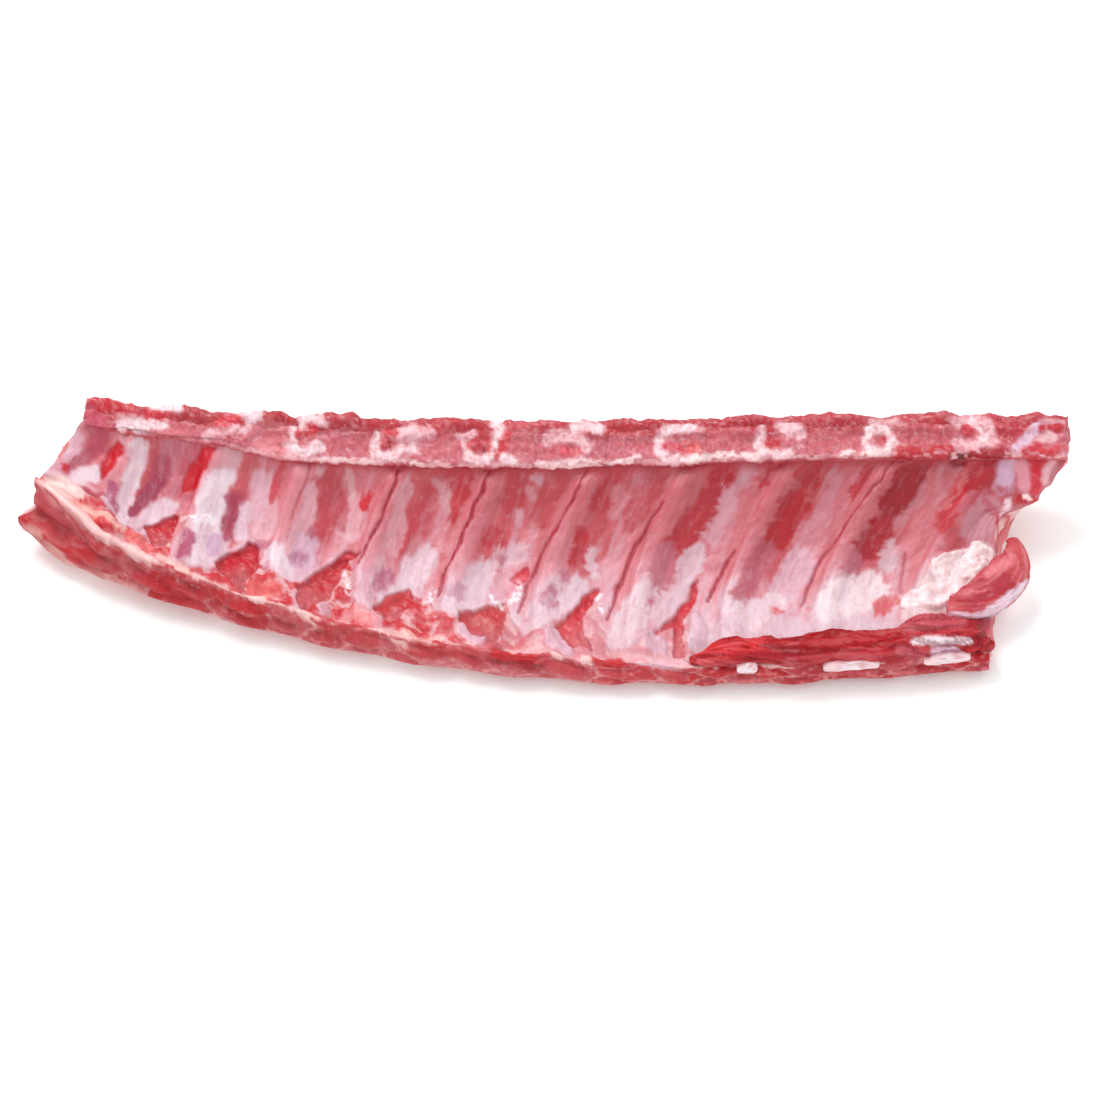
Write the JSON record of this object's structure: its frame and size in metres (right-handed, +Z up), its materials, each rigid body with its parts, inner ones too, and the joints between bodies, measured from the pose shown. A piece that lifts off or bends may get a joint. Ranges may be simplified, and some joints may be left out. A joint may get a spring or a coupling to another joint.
{
  "type": "rack of pork ribs",
  "caption": "Raw rack of pork back ribs lying bone side up, with the sawn spine along one edge, ribs under a membrane and a curled flap of muscle at one end.",
  "frame": {"origin": "middle of the underside, on the surface the rack lies on", "axes": "+X along the rack to the right end with the curled flap, +Y from the cut rib ends to the sawn spine, +Z up out of the bone side"},
  "size_m": [0.461, 0.123, 0.0556],
  "materials": {
    "flesh": "moist raw meat under a thin glossy pink membrane",
    "bone": "rib bone seen through the membrane, pink-white, satin",
    "marrow": "sawn spongy bone, red-pink, moist",
    "cartilage": "white-pink cartilage with a red centre, glossy",
    "muscle": "bare dark red muscle, wet",
    "fat": "soft white fat, satin"
  },
  "bodies": {
    "root": {"meat": "flesh", "rib_01": "bone", "rib_02": "bone", "rib_03": "bone", "rib_04": "bone", "rib_05": "bone", "rib_06": "bone", "rib_07": "bone", "rib_08": "bone", "rib_09": "bone", "rib_10": "bone", "vertebra_01": "marrow", "vertebra_02": "marrow", "vertebra_03": "marrow", "vertebra_04": "marrow", "vertebra_05": "marrow", "vertebra_06": "marrow", "vertebra_07": "marrow", "vertebra_08": "marrow", "vertebra_09": "marrow", "vertebra_10": "marrow", "vertebra_11": "marrow", "disc_01": "cartilage", "disc_02": "cartilage", "disc_03": "cartilage", "disc_04": "cartilage", "disc_05": "cartilage", "disc_06": "cartilage", "disc_07": "cartilage", "disc_08": "cartilage", "disc_09": "cartilage", "disc_10": "cartilage", "muscle_strip": "muscle", "muscle_flap": "muscle", "fat_lump": "fat"}
  },
  "joints": []
}
